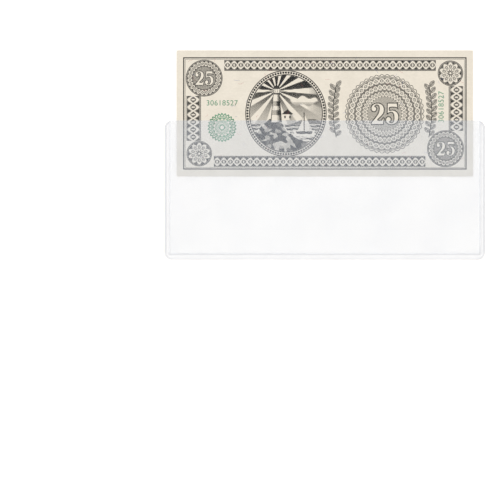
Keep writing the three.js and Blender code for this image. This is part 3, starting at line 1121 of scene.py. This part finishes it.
# Back print.
# The other face is printed in green alone, from one plate: a braided frame, a large rosette between two
# smaller ones, and the value in both of these.
BACK = {"ink": green_ink, "back": True}
BACK_PANEL_HALF_SIZE = (65.0, 20.6)
BACK_ROWS = (24.9, -24.9)
BACK_ROW_END = 73.4
BACK_COLUMNS = (69.7, -69.7)
BACK_COLUMN_END = 20.4
BACK_MIDDLE = (0.0, 0.0)
BACK_COUNTERS = ((-42.0, 0.0), (42.0, 0.0))
back_print = frame_rules(*FRAME_HALF_SIZE, width=0.6, **BACK)
back_print += frame_rules(*BACK_PANEL_HALF_SIZE, width=0.34, **BACK)
for row in BACK_ROWS:
    start, end = (-BACK_ROW_END, row), (BACK_ROW_END, row)
    back_print.append(braid(start, end, half_height=3.4, waves=17.0, **BACK))
for column in BACK_COLUMNS:
    start, end = (column, -BACK_COLUMN_END), (column, BACK_COLUMN_END)
    back_print.append(braid(start, end, half_height=3.6, waves=5.0, **BACK))
back_print += [
    rosette(BACK_MIDDLE, inner=1.0, outer=18.0, lobes=16, bands=4, **BACK),
    edging(BACK_MIDDLE, radius=18.4, width=0.3, depth=0.9, points=40, **BACK),
]
for counter in BACK_COUNTERS:
    back_print += [
        rosette(counter, inner=8.2, outer=15.0, lobes=14, bands=2, **BACK),
        edging(counter, radius=15.4, width=0.36, **BACK),
        ink_slab(value_curve(9.6), counter, spread=0.1, back=True),
    ]
printed("back_print", green_ink, back_print)

# Stage.
# A white table top under one large overhead softbox, with an even fill from all round. Table and room show
# white to the camera, and the room is dimmer in reflections from overhead, behind the softbox.
FLOOR_DROP = 0.05
FLOOR_HALF = 3.0
TABLE_GREY = (0.8, 0.8, 0.8, 1.0)
TABLE_GLOW = (1.0, 0.893, 0.747, 1.0)
TABLE_GLOW_STRENGTH = 0.43
FILL_COLOUR = (1.01, 1.0, 0.985, 1.0)
FILL_LEVEL = 0.85
SEEN_LEVEL = 1.02
OVERHEAD = (0.55, 0.85)
OVERHEAD_DIMMING = 0.2
SOFTBOX_SIDE = 1.4
SOFTBOX_HEIGHT = 1.1
SOFTBOX_RADIANCE = 0.45
SOFTBOX_COLOUR = (0.96, 1.0, 1.05)


def table_white():
    """Matt grey that glows up to white where it is looked at, so that only the shadow on it shows."""
    material, plan = material_plan("table_white")
    base = plan.node("ShaderNodeBsdfDiffuse", {"Color": TABLE_GREY})
    ray = plan.node("ShaderNodeLightPath", out="Is Camera Ray")
    seen = (ray + ray.beside("Is Glossy Ray") + ray.beside("Is Transmission Ray")).math("MINIMUM", 1.0)
    glow = plan.node("ShaderNodeEmission", {"Color": TABLE_GLOW, "Strength": TABLE_GLOW_STRENGTH})
    bright = plan.node("ShaderNodeAddShader", {0: base, 1: glow})
    surface = plan.node("ShaderNodeMixShader", {0: seen, 1: base, 2: bright})
    plan.node("ShaderNodeOutputMaterial", {"Surface": surface})
    return material


turns = ((-1, -1), (1, -1), (1, 1), (-1, 1))
floor_corners = [(x * FLOOR_HALF, y * FLOOR_HALF, -FLOOR_DROP * MM) for x, y in turns]
floor_mesh = bpy.data.meshes.new("floor")
floor_mesh.from_pydata(floor_corners, [], [(0, 1, 2, 3)])
floor = finished_piece("floor", floor_mesh, table_white())

world = bpy.data.worlds.new("studio")
scene.world = world
world.use_nodes = True
world.node_tree.nodes.clear()
room = Plan(world.node_tree)
ray = room.node("ShaderNodeLightPath", out="Is Camera Ray")
way = room.node("ShaderNodeTexCoord", out="Generated")
height = room.node("ShaderNodeSeparateXYZ", {"Vector": way}).beside("Z")
behind_softbox = between(height, *OVERHEAD, 0.0, OVERHEAD_DIMMING)
level = between(ray, 0.0, 1.0, FILL_LEVEL, SEEN_LEVEL) - ray.beside("Is Glossy Ray") * behind_softbox
fill = room.node("ShaderNodeBackground", {"Color": FILL_COLOUR, "Strength": level})
room.node("ShaderNodeOutputWorld", {"Surface": fill})

softbox = bpy.data.lights.new("softbox", "AREA")
softbox.shape = "SQUARE"
softbox.size = SOFTBOX_SIDE
softbox.color = SOFTBOX_COLOUR
softbox.energy = SOFTBOX_RADIANCE * math.pi * SOFTBOX_SIDE * SOFTBOX_SIDE
lamp = bpy.data.objects.new("softbox", softbox)
lamp.location = (0.0, 0.0, SOFTBOX_HEIGHT)
lamp.visible_camera = False
scene.collection.objects.link(lamp)

# Camera.
# It looks straight down from above the table. The sleeve stands square in the frame, up and to the right of
# its middle. Light may cross the clear plastic many times before it is given up.
PHOTO_WIDTH = 263.6
CAMERA_X = -39.46
CAMERA_Y = -31.5
LENS = 100.0
SENSOR = 36.0
CAMERA_HEIGHT = SLEEVE_THICKNESS / 2 + PHOTO_WIDTH * LENS / SENSOR
BOUNCES = 48
camera_data = bpy.data.cameras.new("camera")
camera_data.lens = LENS
camera_data.sensor_width = SENSOR
camera = bpy.data.objects.new("camera", camera_data)
camera.location = (CAMERA_X * MM, CAMERA_Y * MM, CAMERA_HEIGHT * MM)
scene.collection.objects.link(camera)
scene.camera = camera
scene.view_settings.view_transform = "Standard"
scene.cycles.max_bounces = BOUNCES
scene.cycles.glossy_bounces = BOUNCES
scene.cycles.transmission_bounces = BOUNCES
